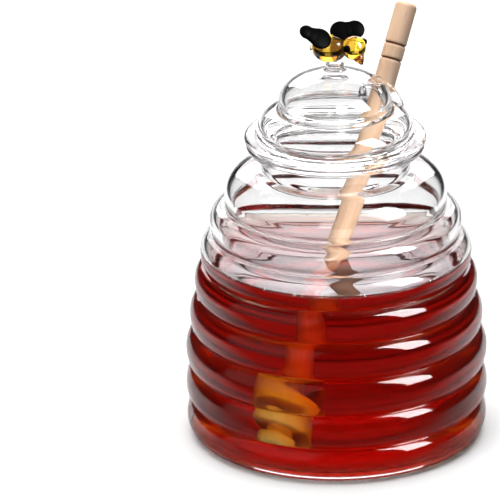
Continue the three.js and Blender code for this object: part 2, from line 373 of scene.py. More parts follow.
def clear_glass():
    material, tree, shader = new_material("clear_glass")
    wet = add_node(tree, "Attribute", attribute_name="wetted").outputs["Fac"]
    dry = add_node(tree, "Math", {0: 1, 1: wet}, operation="SUBTRACT").outputs["Value"]
    set_inputs(tree, shader, {"Base Color": WHITE, "IOR": GLASS_IOR,
                              "Transmission Weight": 1, "Specular Tint": dry})
    add_unevenness(material, scale=60, bump=0.12, distance=mm(0.6), roughness=(0.0, 0.012))
    return material


CLEAR_GLASS = clear_glass()
print("made", CLEAR_GLASS.name)

# %% [markdown]
# ## The jar
#
# Outside, each rib is a round bulge between two sharp grooves, so it is half an ellipse cut
# short before it would fold into its neighbour. Inside, the blown wall follows the mould at an
# even thickness, so its outline is worked out: everywhere one wall thickness away from the
# outside. A Solidify modifier could do that too, but then the thick floor, the shoulder and the
# rolled lip would all be as thin as the wall.

# %% The ribs, outside and inside
GROOVE_ANGLE = 78  # degrees from a rib's crest to where it is cut short
RIB_STEPS, MEASURED_STEPS = 9, 24  # points on half a rib: for the shape and for measuring
INSIDE_STEP = 0.9


def groove(i):
    """Radius and height of the groove between rib i and the one above it."""
    (low, inner), (high, outer) = RIBS[i], RIBS[i + 1]
    return (inner + outer) / 2 - RIB_DEPTH, (low + high) / 2


def ribs_outside(steps):
    points = []
    for i, (height, radius) in enumerate(RIBS):
        if i > 0:
            r, z = groove(i - 1)
            points += arc(r, height, radius - r, z - height, GROOVE_ANGLE, 0, steps)
        if i < len(RIBS) - 1:
            r, z = groove(i)
            points += arc(r, height, radius - r, z - height, 0, GROOVE_ANGLE, steps)[1:]
    return points


def outer_wall():
    """The ribbed outside as closely spaced points, for measuring from."""
    points = ribs_outside(MEASURED_STEPS)
    fine = []
    for (r0, z0), (r1, z1) in zip(points, points[1:]):
        fine += [(r0 + (r1 - r0) * k / 4, z0 + (z1 - z0) * k / 4) for k in range(4)]
    return fine


OUTER_WALL = outer_wall()


def ribs_inside(inset, low, high):
    """The wall's inside from one height to another, everywhere this far from the outside."""
    points, z = [], low
    while z < high:
        near = [(r, h) for r, h in OUTER_WALL if abs(h - z) < inset]
        points.append((min(r - math.sqrt(inset ** 2 - (h - z) ** 2) for r, h in near), z))
        z += INSIDE_STEP
    return points


print("points that the inside is measured from:", len(OUTER_WALL))


# %% Outline of the jar
HEEL = 2.0  # the foot's inner edge, where the push-up begins
HEEL_HIGH = 0.7
NECK_FOOT, NECK_HEAD = (1.6, 1.5), 2.2  # the curves where the neck leaves shoulder and lip
LIP_EDGE, MOUTH_EDGE = 1.0, 0.9  # how round the lip is outside and inside
NECK_INSIDE = NECK_RADIUS - WALL + 0.2
NECK_FOOT_INSIDE = (2.0, 2.2)
TURN_IN, TURN_LOW = 1.2, 0.4  # the inside turns into the shoulder a little further in and lower


def jar_outside():
    """From the middle of the foot, up the outside, to the lip's outer edge."""
    low_z, low_r = RIBS[0]
    top_z, top_r = RIBS[-1]
    wide, high = NECK_FOOT
    return [
        (0, PUSH_UP), (PUSH_UP_RADIUS - 12, PUSH_UP), (PUSH_UP_RADIUS - 4, PUSH_UP - 0.3),
        *arc(PUSH_UP_RADIUS + HEEL, HEEL_HIGH, HEEL, HEEL_HIGH, 180, 270, 4),
        *arc(FOOT_RADIUS, low_z, low_r - FOOT_RADIUS, low_z, -90, -4, 12),
        *ribs_outside(RIB_STEPS),
        *arc(SHOULDER_RADIUS, top_z, top_r - SHOULDER_RADIUS, SHOULDER_TOP - top_z, 4, 80, 14),
        *arc(NECK_RADIUS + wide, SHOULDER_TOP + high, wide, high, -100, -180, 5),
        *arc(NECK_RADIUS + NECK_HEAD, LIP_LOW - NECK_HEAD, NECK_HEAD, NECK_HEAD, 180, 94, 6),
        *arc(LIP_RADIUS - LIP_EDGE, (LIP_LOW + LIP_HIGH) / 2, LIP_EDGE,
             (LIP_HIGH - LIP_LOW) / 2, -90, 90, 8),
    ]


def jar_inside():
    """From the lip's inner edge, down the inside, to the middle of the floor."""
    top_z, top_r = RIBS[-1]
    wide, high = NECK_FOOT_INSIDE
    return [
        *arc(NECK_INSIDE + MOUTH_EDGE, LIP_HIGH - MOUTH_EDGE, MOUTH_EDGE, MOUTH_EDGE, 90, 180, 5),
        *arc(NECK_INSIDE + wide, SHOULDER_TOP + 0.6, wide, high, 180, 258, 5),
        *arc(SHOULDER_RADIUS - TURN_IN, top_z - TURN_LOW,
             top_r - SHOULDER_RADIUS - WALL + TURN_IN,
             SHOULDER_TOP - top_z - WALL + TURN_LOW, 78, 4, 12),
        *reversed(ribs_inside(WALL, CORNER_TOP, top_z - 1)),
        *arc(CORNER_RADIUS, CORNER_TOP, CORNER_WIDE, CORNER_HIGH, -10, -90, 9),
        (0, FLOOR),
    ]


jar_outline = jar_outside() + jar_inside()
print("points in the jar's outline:", len(jar_outline))


# %% The jar
INWARDS, UPWARDS = -0.1, 0.9  # how far a vertex normal leans towards the axis, and up


def honey_touches(vertex):
    """Whether a vertex of the jar lies on its inside, from the floor to the honey's level."""
    x, y, z = vertex.co
    low, high = mm(FLOOR) * 0.8, mm(HONEY_LEVEL)
    outwards = vertex.normal.x * x + vertex.normal.y * y
    on_floor = vertex.normal.z > UPWARDS and z < mm(FLOOR + 0.5)
    return low < z < high and (outwards < INWARDS * math.hypot(x, y) or on_floor)


def mark_wetted(piece):
    """Writes 1 at the vertices that the honey wets and 0 at all others."""
    marks = piece.data.attributes.new("wetted", "FLOAT", "POINT")
    for vertex in piece.data.vertices:
        marks.data[vertex.index].value = float(honey_touches(vertex))


jar = turned("jar_glass", jar_outline, AROUND)
mark_wetted(jar)
finish_piece(jar, "jar", CLEAR_GLASS)

# %% [markdown]
# ## The lid
#
# The lid is blown in one piece: a flange that rests on the jar, a short skirt that centres it,
# two rounded tiers and the stem that carries the bee. The handle's hole is punched while the
# glass is hot, which leaves a thick round rim. Here the rim is a turned ring that is joined to
# the shell, and the hole is then cut through both. Pulling the hole's edge out in edit mode
# would also work, but on a curved shell the rim would come out uneven.

# %% Outline of the lid
SKIRT_EDGE, SKIRT_HEAD = 0.5, 2.0  # how round the skirt is below, and where it joins the dome
TIER_FOOT = 1.3  # the curve between the flange and the lower tier
WAIST, WAIST_OUT, WAIST_HIGH = 1.0, 0.9, 8.3  # the curve between the two tiers
STEM_FOOT_WIDE, STEM_FOOT_HIGH = 2.6, 2.4


def lid_inside():
    """From the middle of the dome, down the inside, to the skirt's lower edge."""
    lower, lower_z, lower_rise = LOWER_TIER
    upper, upper_z, upper_rise = UPPER_TIER
    skirt_in = SKIRT_OUT - SKIRT_WALL
    return [
        *arc(0, upper_z, upper - LID_WALL, upper_rise - LID_WALL, 90, -6, 26),
        *arc(0, lower_z, lower - LID_WALL, lower_rise - LID_WALL, 43, -14, 16),
        *arc(skirt_in + SKIRT_HEAD, FLANGE_LOW + 0.6, SKIRT_HEAD, SKIRT_HEAD, 150, 180, 3),
        *arc(skirt_in + SKIRT_EDGE, SKIRT_LOW + SKIRT_EDGE, SKIRT_EDGE, SKIRT_EDGE, 180, 270, 3),
        *arc(SKIRT_OUT - SKIRT_EDGE, SKIRT_LOW + SKIRT_EDGE, SKIRT_EDGE, SKIRT_EDGE, -90, 0, 3),
    ]


def lid_outside():
    """From the skirt, round the flange and over both tiers, to the top of the stem."""
    lower, lower_z, lower_rise = LOWER_TIER
    upper, upper_z, upper_rise = UPPER_TIER
    edge = (FLANGE_HIGH - FLANGE_LOW) / 2
    top = upper_z + upper_rise
    return [
        (SKIRT_OUT, FLANGE_LOW - 0.4), (SKIRT_OUT + 0.4, FLANGE_LOW),
        *arc(FLANGE_RADIUS - edge, FLANGE_LOW + edge, edge, edge, -90, 90, 12),
        *arc(lower + TIER_FOOT, FLANGE_HIGH + TIER_FOOT, TIER_FOOT, TIER_FOOT, 270, 190, 5),
        *arc(0, lower_z, lower, lower_rise, 0, 42, 14),
        *arc(upper + WAIST_OUT, lower_z + WAIST_HIGH, WAIST, WAIST, 240, 180, 4),
        *arc(0, upper_z, upper, upper_rise, -6, 74, 24),
        *arc(STEM_RADIUS + STEM_FOOT_WIDE, top + 2.2, STEM_FOOT_WIDE, STEM_FOOT_HIGH, 250, 180, 6),
        (STEM_RADIUS + 0.2, STEM_TOP - 0.9), (STEM_RADIUS - 0.6, STEM_TOP),
        (0, STEM_TOP),
    ]


lid_outline = lid_inside() + lid_outside()
print("points in the lid's outline:", len(lid_outline))

# %% The lid with its hole
RIM_WIDE, RIM_EDGE = 2.1, 1.05  # how far the rim reaches past the hole, and its rounding
RIM_LOW, RIM_HIGH = -2.6, 2.4  # along the hole's axis, from its centre
BORE_LOW, BORE_HIGH = -11, 3.2
BORE_EDGE, BORE_EDGE_AT = 1.1, 1.3  # the hole's rounding, and how high it starts
BORE_STEPS = 64
SHARP_EDGE = math.radians(40)


def lid_rim():
    """A thick ring that stands on the shell, made solid, because the bore opens it."""
    outer = HOLE_RADIUS + RIM_WIDE
    outline = [(0, RIM_LOW), (HOLE_RADIUS + 0.8, RIM_LOW), (outer - 0.3, 0.2),
               *arc(outer - RIM_EDGE, RIM_HIGH - RIM_EDGE, RIM_EDGE, RIM_EDGE, -20, 90, 8),
               (0, RIM_HIGH)]
    return lay(turned("rim", outline, BORE_STEPS), HOLE_CENTRE, HOLE_AXIS)


def lid_bore():
    """The shape of the hole: a cylinder that widens where it meets the rim's round edge."""
    outline = [(0, BORE_LOW), (HOLE_RADIUS, BORE_LOW), (HOLE_RADIUS, BORE_EDGE_AT),
               *arc(HOLE_RADIUS + BORE_EDGE, BORE_EDGE_AT, BORE_EDGE, BORE_EDGE, 180, 95, 6),
               (HOLE_RADIUS + 1.0, BORE_HIGH), (0, BORE_HIGH)]
    return lay(turned("bore", outline, BORE_STEPS), HOLE_CENTRE, HOLE_AXIS)


lid = turned("lid_glass", lid_outline, AROUND)
for tool, operation in [(lid_rim(), "UNION"), (lid_bore(), "DIFFERENCE")]:
    modify(lid, "BOOLEAN", operation=operation, object=tool, solver="EXACT")
    discard(tool)
select_only(lid)
bpy.ops.object.shade_smooth_by_angle(angle=SHARP_EDGE)
finish_piece(lid, "lid", CLEAR_GLASS)

# %% [markdown]
# ## The honey's finish
#
# Honey has no painted colour: light is absorbed on its way through, red least and blue most, so
# it is deep red where it is thick and orange where it is thin. A volume absorption does just
# that. A clear honey would show the far wall's ribs as hard bands, so its back is a little
# cloudy, as set honey is, and only its front and its level surface are clear. Its sides lie
# against the glass and mirror nothing, for the reason given under clear glass.

# %% Honey material
HONEY_IOR = 1.49
HONEY_LETS_THROUGH, HONEY_DENSITY = (0.935, 0.68, 0.04, 1), 220
CLEAR_FROM, CLOUDY_FROM = -12, 8  # from the front to the back
FRONT_ROUGH, BACK_ROUGH, FLOOR_ROUGH, LEVEL_ROUGH = 0.08, 0.42, 0.2, 0.03
LEVEL_DEPTH = 0.3  # what lies higher than this under the level is the open surface


def honey_roughness(tree, place, on_top):
    """Clear in front, cloudy at the back and near the floor, and clear at the level."""
    side = add_node(tree, "MapRange", {
        "Value": place["Y"], "From Min": mm(CLEAR_FROM), "From Max": mm(CLOUDY_FROM),
        "To Min": FRONT_ROUGH, "To Max": BACK_ROUGH})
    floor = add_node(tree, "MapRange", {
        "Value": place["Z"], "From Min": mm(FLOOR + 0.5), "From Max": mm(FLOOR + 3.5),
        "To Min": FLOOR_ROUGH, "To Max": 0.0})
    cloudier = add_node(tree, "Math", {0: side.outputs["Result"], 1: floor.outputs["Result"]},
                        operation="MAXIMUM")
    level = add_node(tree, "Mix", {"Factor": on_top, "A": cloudier.outputs["Value"],
                                   "B": LEVEL_ROUGH})
    return level.outputs["Result"]


def honey_material():
    material, tree, shader = new_material("honey")
    depth = add_node(tree, "VolumeAbsorption",
                     {"Color": HONEY_LETS_THROUGH, "Density": HONEY_DENSITY})
    set_inputs(tree, tree.nodes["Material Output"], {"Volume": depth.outputs["Volume"]})
    place = split_place(tree, object_place(tree))
    on_top = add_node(tree, "Math", {0: place["Z"], 1: mm(HONEY_LEVEL - LEVEL_DEPTH)},
                      operation="GREATER_THAN").outputs["Value"]
    set_inputs(tree, shader, {"Base Color": WHITE, "IOR": HONEY_IOR, "Transmission Weight": 1,
                              "Specular Tint": on_top,
                              "Roughness": honey_roughness(tree, place, on_top)})
    add_unevenness(material, scale=25, bump=0.04, distance=mm(0.4))
    return material


HONEY = honey_material()
print("made", HONEY.name)

# %% [markdown]
# ## The honey's shape
#
# Where a liquid wets glass there is no air between them. If two surfaces met exactly, the
# renderer couldn't tell which comes first, and with a gap the liquid would look like a separate
# plug. So the honey reaches a little way into the wall, on the same worked-out line as the
# inside of the glass. At the wall it climbs a little, as every liquid does that wets glass.

# %% The honey
INTO_WALL = 0.2
CLIMB, CLIMB_WIDE = 0.5, 2.0  # how high the honey climbs at the wall, and over what width


def honey_outline():
    wall = ribs_inside(WALL - INTO_WALL, CORNER_TOP, HONEY_LEVEL + 0.9)
    edge = wall[-1][0]
    return [
        (0, FLOOR - INTO_WALL),
        *arc(CORNER_RADIUS, CORNER_TOP, CORNER_WIDE + INTO_WALL,
             CORNER_HIGH + INTO_WALL, -90, -10, 9),
        *wall[:-1],
        (edge, HONEY_LEVEL + CLIMB),
        *arc(edge - 2.2, HONEY_LEVEL + CLIMB, CLIMB_WIDE, CLIMB, -10, -90, 5),
        (0, HONEY_LEVEL),
    ]


honey = turned("honey_fill", honey_outline(), AROUND)
finish_piece(honey, "honey", HONEY)

# %% [markdown]
# ## Bubbles
#
# Poured honey carries tiny bubbles, which gather along the edge of its surface. They could be
# a particle system, but a loop of little spheres with a seeded chance is simpler and comes out
# the same each time. Each sphere is pale and solid: its colour is a painted glint, which stands
# in for the light that a real air bubble mirrors. So small a sphere needs few faces. They are
# joined into one piece.

# %% Bubbles along the edge of the honey
BUBBLE_COUNT, BUBBLE_SEED = 90, 7
BUBBLE_RADII = [0.2, 0.24, 0.3, 0.42]
BUBBLE_DRIFT = [0, 0, 0, 0.6, 1.5]  # how far a bubble lies from the wall
# the bubbles' pale colour is a painted glint: the light that real air bubbles mirror
BUBBLE_GLINT_TONE = (0.95, 0.9, 0.86, 1)


def bubble_glint_material():
    material, tree, shader = new_material("bubble_glint")
    # A pale base colour: the painted glint of the bubbles.
    set_inputs(tree, shader, {"Base Color": BUBBLE_GLINT_TONE})
    add_unevenness(material, scale=900, bump=0.1, distance=mm(0.05), roughness=(0.15, 0.35))
    return material


def bubbles():
    chance = random.Random(BUBBLE_SEED)
    edge = ribs_inside(WALL, HONEY_LEVEL, HONEY_LEVEL + 0.5)[0][0]
    made = []
    for _ in range(BUBBLE_COUNT):
        radius = chance.choice(BUBBLE_RADII)
        angle = chance.uniform(0, TAU)
        reach = edge - radius * 0.9 - chance.choice(BUBBLE_DRIFT)
        place = mm(reach * math.cos(angle), reach * math.sin(angle), HONEY_LEVEL + 0.15)
        deselect()
        bpy.ops.mesh.primitive_ico_sphere_add(subdivisions=2, radius=mm(radius), location=place)
        made.append(bpy.context.object)
    select_only(*made)
    bpy.ops.object.join()
    bpy.ops.object.shade_smooth()
    piece = bpy.context.object
    piece.name = "honey_bubbles"
    bpy.ops.object.transform_apply(location=True, rotation=True, scale=True)
    return piece


finish_piece(bubbles(), None, bubble_glint_material())

# %% [markdown]
# ## Beech
#
# Beech is pale, with streaks and short darker flecks along the grain. An image of wood would
# show seams on a round stick, so the grain is two noises, drawn out along the handle. They
# follow its slant through a mapping that turns the place on the dipper upright again. The
# honey has soaked the head yellow. The two rings near the top are painted dark brown, which
# is partly a ring burnt in with a wire and partly painted shade in the ring's groove.

# %% Where things are along the dipper
DIPPER_TURN = DIPPER_AXIS.to_track_quat("Z", "Y")
HEAD_LENGTH = (len(DISCS) - 1) * DISC_PITCH + DISC_THICK
DIPPER_LENGTH = (HEAD_LENGTH / 2 + (HANDLE_AT_HOLE - HEAD_CENTRE).length * 1000 + HANDLE_BEYOND)
DIPPER_START = HEAD_CENTRE - DIPPER_AXIS * mm(HEAD_LENGTH / 2)
RINGS = [DIPPER_LENGTH - 21.3, DIPPER_LENGTH - 15.7]
RING_HALF = 0.42  # half the width of a ring, and of the dark band painted on it: burnt wood and painted shade
print("the dipper is", round(DIPPER_LENGTH), "mm long")

# %% Beech material
STREAKS = [(0.3, (0.70, 0.44, 0.28)), (0.7, (0.83, 0.58, 0.40))]
FLECKS = [(0.60, (1, 1, 1)), (0.70, (0.80, 0.68, 0.58))]
STREAK_NOISE, FLECK_NOISE = (0.06, 420, 4), (0.12, 1700, 2)  # stretch, scale, detail
FLECK_SHARE, WOOD_SHINE = 0.5, 0.3
SOAKED, SOAKED_SHARE = (0.95, 0.82, 0.42, 1), 0.7
SOAKED_UP_TO = (HEAD_LENGTH, HEAD_LENGTH + 9)  # fades out over this stretch
# dark brown of the rings: partly burnt wood, partly painted shade in their grooves
BURNT_AND_SHADE = (0.34, 0.2, 0.13, 1)


def drawn_noise(tree, place, stretch, scale, detail):
    """A noise whose spots are long along the grain: the smaller the stretch, the longer."""
    along = add_node(tree, "Mapping", {"Vector": place, "Scale": (1, 1, stretch)})
    noise = add_node(tree, "TexNoise", {"Vector": along.outputs["Vector"], "Scale": scale,
                                        "Detail": detail})
    return noise.outputs["Fac"]


def beech_grain(tree, place):
    streaks = colour_ramp(tree, drawn_noise(tree, place, *STREAK_NOISE), STREAKS)
    flecks = colour_ramp(tree, drawn_noise(tree, place, *FLECK_NOISE), FLECKS)
    return mix_colours(tree, FLECK_SHARE, streaks, flecks, "MULTIPLY")


def beech():
    material, tree, shader = new_material("beech")
    upright = add_node(tree, "Mapping", {"Vector": object_place(tree), "Location": DIPPER_START,
                                         "Rotation": DIPPER_TURN.to_euler()},
                       vector_type="TEXTURE").outputs["Vector"]
    height = split_place(tree, upright)["Z"]
    wet = add_node(tree, "MapRange", {"Value": height, "From Min": mm(SOAKED_UP_TO[1]),
                                      "From Max": mm(SOAKED_UP_TO[0]), "To Max": SOAKED_SHARE})
    colour = mix_colours(tree, wet.outputs["Result"], beech_grain(tree, upright), SOAKED)
    # each ring's band is painted darker: partly burnt wood, partly painted shade in the groove
    for ring in RINGS:
        near = add_node(tree, "Math", {0: height, 1: mm(ring), 2: mm(RING_HALF)},
                        operation="COMPARE").outputs["Value"]
        colour = mix_colours(tree, 1, colour, mix_colours(tree, near, WHITE, BURNT_AND_SHADE), "MULTIPLY")
    set_inputs(tree, shader, {"Base Color": colour, "Specular IOR Level": WOOD_SHINE})
    add_unevenness(material, scale=900, bump=0.15, distance=mm(0.15), roughness=(0.5, 0.68))
    return material


BEECH = beech()
print("made", BEECH.name)

# %% [markdown]
# ## The dipper
#
# A honey dipper is turned from one stick: a grooved head that holds the honey, a plain handle
# and two fine rings near its rounded top. The lathe makes it in one go, and so does the spin:
# the outline of half the stick is turned along Z and then laid along its slant. Grooves could
# be cut with booleans, but in an outline each one is only a few points.

# %% The dipper
DISC_EDGE, GROOVE_ROUND = 0.9, 0.4
LAST_CORE = 1.6  # the neck above the last disc is this much thicker than the core
FLARE_WIDE, FLARE_HIGH = 3, 5
RING_DEEP, RING_HIGH, RING_REST = 0.5, 0.34, 1.2  # groove of a ring, and the plain wood by it
TIP_WIDE, TIP_HIGH = 1.6, 1.5  # the rounding of the handle's top


def head_outline():
    """The discs and the grooves between them, from the tip upwards."""
    points = []
    for i, radius in enumerate(DISCS):
        low, high = i * DISC_PITCH, i * DISC_PITCH + DISC_THICK
        last = i == len(DISCS) - 1
        core = DISC_CORE + GROOVE_ROUND + (LAST_CORE if last else 0)
        points += arc(radius - DISC_EDGE, low + DISC_EDGE, DISC_EDGE, DISC_EDGE, -90, 0, 4)
        points += arc(radius - DISC_EDGE, high - DISC_EDGE, DISC_EDGE, DISC_EDGE, 0, 90, 4)
        points.append((core, high))
        if not last:
            for z, start in [(high + GROOVE_ROUND, 270), (low + DISC_PITCH - GROOVE_ROUND, 180)]:
                points += arc(core, z, GROOVE_ROUND, GROOVE_ROUND, start, start - 90, 3)
    return points


def handle_outline():
    """The flare above the head, the two rings and the rounded top."""
    points = arc(HANDLE_RADIUS + FLARE_WIDE, HEAD_LENGTH + FLARE_HIGH,
                 FLARE_WIDE, FLARE_HIGH, 240, 180, 6)
    for z in RINGS:
        points += [(HANDLE_RADIUS, z - RING_REST), (HANDLE_RADIUS, z - RING_HALF)]
        points += arc(HANDLE_RADIUS + 0.02, z, RING_DEEP, RING_HIGH, 250, 110, 6)
        points += [(HANDLE_RADIUS, z + RING_HALF), (HANDLE_RADIUS, z + RING_REST)]
    return points + arc(HANDLE_RADIUS - TIP_WIDE, DIPPER_LENGTH - TIP_HIGH,
                        TIP_WIDE, TIP_HIGH, 0, 90, 8)


dipper_outline = [(0, 0), *head_outline(), *handle_outline(), (0, DIPPER_LENGTH)]
dipper = lay(turned("dipper_wood", dipper_outline, 64), DIPPER_START, DIPPER_AXIS)
finish_piece(dipper, "dipper", BEECH)

# %% [markdown]
# ## The bee's glass
#
# The bee is worked in a flame from rods of coloured glass. Amber glass is tinted right
# through, so the colour goes on the transmission. The brown bands were laid on as soft threads
# and melted in. They are made here as the same glass, coloured darker by its place along the
# body, with a noise that bends their edges as in drawn glass. Black glass lets nothing
# through, so it is a dark, softly polished surface.

# %% Tinted and black glass
TINTED_IOR = 1.5
BLACK_TINT, BLACK_SHINE = (0.002, 0.0024, 0.0022, 1), 0.015


def tinted_glass(name, colour):
    material, tree, shader = new_material(name)
    set_inputs(tree, shader, {"Base Color": (*colour, 1), "IOR": TINTED_IOR,
                              "Transmission Weight": 1})
    add_unevenness(material, scale=300, bump=0.1, distance=mm(0.2), roughness=(0.0, 0.03))
    return material


def black_glass():
    material, tree, shader = new_material("black_glass")
    set_inputs(tree, shader, {"Base Color": BLACK_TINT, "Specular IOR Level": BLACK_SHINE})
    add_unevenness(material, scale=350, bump=0.2, distance=mm(0.2), roughness=(0.28, 0.42))
    return material


AMBER_TINT, PALE_TINT = (0.93, 0.57, 0.05), (0.97, 0.93, 0.55)
BROWN_TINT, BAND_TINT = (0.62, 0.27, 0.05), (0.06, 0.018, 0.004)
amber = tinted_glass("amber_glass", AMBER_TINT)
pale = tinted_glass("pale_glass", PALE_TINT)
brown = tinted_glass("brown_glass", BROWN_TINT)
black = black_glass()
print("made", [glass.name for glass in (amber, pale, brown, black)])

# %% Bands on the bee's body
BEE_HEADING = Vector((0.89, -0.43, 0.12)).normalized()
BODY_CENTRE, BODY_LONG, BODY_RADIUS = mm(-1.9, 0.4, 147.5), 6.6, 5.1
BANDS_REACH = 8  # how far the bands are followed, either way from the body's middle
BANDS = [(-6.5, AMBER_TINT), (-4.0, AMBER_TINT), (-3.4, BAND_TINT), (-2.6, BAND_TINT),
         (-2.0, AMBER_TINT), (2.4, AMBER_TINT), (3.2, BAND_TINT), (4.6, BAND_TINT)]
BAND_WOBBLE, WOBBLE_SCALE = 1.2, 180


def band_colours(tree):
    """Colours a glass by its distance along the bee's body."""
    place = object_place(tree)
    along = add_node(tree, "Mapping", {"Vector": place, "Location": BODY_CENTRE,
                                       "Rotation": BEE_HEADING.to_track_quat("Z", "Y").to_euler()},
                     vector_type="TEXTURE").outputs["Vector"]
    noise = add_node(tree, "TexNoise", {"Vector": place, "Scale": WOBBLE_SCALE}).outputs["Fac"]
    distance = add_node(tree, "Math", {0: noise, 1: mm(BAND_WOBBLE),
                                       2: split_place(tree, along)["Z"]},
                        operation="MULTIPLY_ADD").outputs["Value"]
    spread = add_node(tree, "MapRange", {"Value": distance, "From Min": mm(-BANDS_REACH),
                                         "From Max": mm(BANDS_REACH)})
    stops = [((d + BANDS_REACH) / (2 * BANDS_REACH), colour) for d, colour in BANDS]
    return colour_ramp(tree, spread.outputs["Result"], stops)


amber_banded = tinted_glass("amber_banded_glass", AMBER_TINT)
banded_tree = amber_banded.node_tree
set_inputs(banded_tree, banded_tree.nodes["Principled BSDF"],
           {"Base Color": band_colours(banded_tree)})
print("made", amber_banded.name)

# %% [markdown]
# ## The bee's body
#
# Soft glass pulls itself into balls, so the body, the head, the eyes and the tail tip are
# spheres, and some are drawn out along one axis. The pointed snout is a drop pulled off with
# tweezers, so it is turned from an outline. The beads sink a little into each other, as they
# do when they are fused. The construction model keeps a gap there, and these pieces close it.

# %% Body and head
HEAD_PLACE, HEAD_RADIUS = mm(6.9, -4.2, 149.3), 4.4


def ball(name, centre, radius, long=None, way=(0, 0, 1)):
    """A glass bead, drawn out along a direction where a length is given."""
    deselect()
    bpy.ops.mesh.primitive_uv_sphere_add(segments=48, ring_count=32, radius=mm(radius))
    piece = bpy.context.object
    piece.name = name
    piece.scale.z = (long or radius) / radius
    bpy.ops.object.shade_smooth()
    return lay(piece, centre, way)


body = ball("bee_body_glass", BODY_CENTRE, BODY_RADIUS, BODY_LONG, BEE_HEADING)
finish_piece(body, "bee_body", amber_banded)
head = ball("bee_head_glass", HEAD_PLACE, HEAD_RADIUS)
finish_piece(head, "bee_head", amber)

# %% Eyes, snout and tail
EYES = {"left": Vector((0.75, 0.6, 0.28)).normalized(),
        "right": Vector((-0.6, -0.77, 0.19)).normalized()}
EYE_RADIUS, EYE_STANDS_OUT = 1.35, 0.1
SNOUT_WAY, SNOUT_RADIUS, SNOUT_LONG = Vector((2.87, -3.7, -5.2)).normalized(), 2.0, 2.8
SNOUT_SUNK, SNOUT_TIP = 0.9, (0.6, 0.5)
TAIL_RADIUS, TAIL_LONG, TAIL_SUNK = 1.45, 1.5, 0.2

for side, way in EYES.items():
    centre = HEAD_PLACE + way * mm(HEAD_RADIUS + EYE_STANDS_OUT)
    eye = ball("bee_eye_" + side + "_bead", centre, EYE_RADIUS)
    finish_piece(eye, "bee_eye_" + side, black)

snout_outline = [(0, 0), (SNOUT_RADIUS, 0), (SNOUT_RADIUS - 0.1, 0.8), (1.2, 2.2),
                 *arc(0, SNOUT_LONG + 0.1, *SNOUT_TIP, 10, 90, 5)]
snout = lay(turned("bee_snout_glass", snout_outline, 40),
            HEAD_PLACE + SNOUT_WAY * mm(HEAD_RADIUS - SNOUT_SUNK), SNOUT_WAY)
finish_piece(snout, "bee_snout", brown)

tail_place = BODY_CENTRE - BEE_HEADING * mm(BODY_LONG - TAIL_SUNK)
tail = ball("bee_tail_glass", tail_place, TAIL_RADIUS, TAIL_LONG, BEE_HEADING)
finish_piece(tail, "bee_tail", pale)

# %% [markdown]
# ## The bee's wings
#
# Each wing is two soft drops of black glass, pressed flat and run together. Two flattened
# balls and a third one between them, for the waist, give the outline. They are joined and
# remeshed into one skin, and a few rounds of smoothing melt the seams, which booleans would
# leave sharp.

# %% Wings
DROP_THICK, DROP_SPARE = 0.95, 0.1  # half a drop's thickness, and what the smoothing takes off
WAIST_LESS, LOBES_APART = 0.35, 5.2
WING_VOXEL = 0.22
WINGS = {  # root, direction of the wing, direction that its flat side faces, radii of its lobes
    "left": (mm(2.2, 3.4, 152.9), Vector((0.95, 0.1, 0.12)), Vector((0.1, -0.75, 0.66)), 3.9, 3.5),
    "right": (mm(-5.3, -2.6, 152.4), Vector((-0.9, 0.25, 0.2)), Vector((0.3, -0.6, 0.74)), 4.2, 2.8),
}


def wing(name, root, along, face, large, small):
    """Two flattened drops, run together as soft glass does."""
    along = (along - face * along.dot(face)).normalized()
    waist = (large + small) / 2 - WAIST_LESS
    drops = []
    for radius, distance in [(large, 0), (waist, LOBES_APART / 2), (small, LOBES_APART)]:
        centre = root + along * mm(distance)
        drops.append(ball(name, centre, radius + DROP_SPARE, DROP_THICK, face))
    select_only(*drops)
    bpy.ops.object.join()
    piece = bpy.context.object
    modify(piece, "REMESH", mode="VOXEL", voxel_size=mm(WING_VOXEL))
    modify(piece, "SMOOTH", factor=0.5, iterations=4)
    select_only(piece)
    bpy.ops.object.shade_smooth()
    return piece


for side, (root, along, face, large, small) in WINGS.items():
    made = wing("bee_wing_" + side + "_glass", root, along, face.normalized(), large, small)
    finish_piece(made, "bee_wing_" + side, black)

# %% [markdown]
# ## The studio's table and world
#
# Glass shows what is round it, so a studio for glass is mostly dark, and what is bright is
# limited. The picture's table is white. To the glass, it is a dark table with a white sheet
# behind the jar: the sheet's bright middle fills the clear walls, and the dark all round it
# draws the thin dark lines along the glass edges. The Light Path node tells a camera's ray
# from a glass one. In the same way a patch of the table in front of the jar glows, but only
# for light that comes through glass, so that the wood in the honey isn't lost.

# %% Table
SHEET = [(-0.31, 0.31), (-0.02, 0.85)]  # metres, left to right and front to back
NEAR_TABLE = [(-0.35, 0.35), (-0.6, -0.15)]
EDGE_FADE = 0.05  # metres, either way from an edge
TABLE_TONE, SHEET_TONE, PICTURE_TONE = 0.05, 0.7, 0.92
NEAR_GLOW = 2.6
MATT = {"Roughness": 0.9, "Specular IOR Level": 0.0}


def table_area(tree, place, area):
    """A mask that is 1 inside a rectangle of the table and fades out at its edges."""
    mask = 1
    for axis, (low, high) in zip("XY", area):
        for edge, way in [(low, 1), (high, -1)]:
            step = add_node(tree, "MapRange", {"Value": place[axis],
                                               "From Min": edge - way * EDGE_FADE,
                                               "From Max": edge + way * EDGE_FADE})
            mask = multiply(tree, mask, step.outputs["Result"])
    return mask


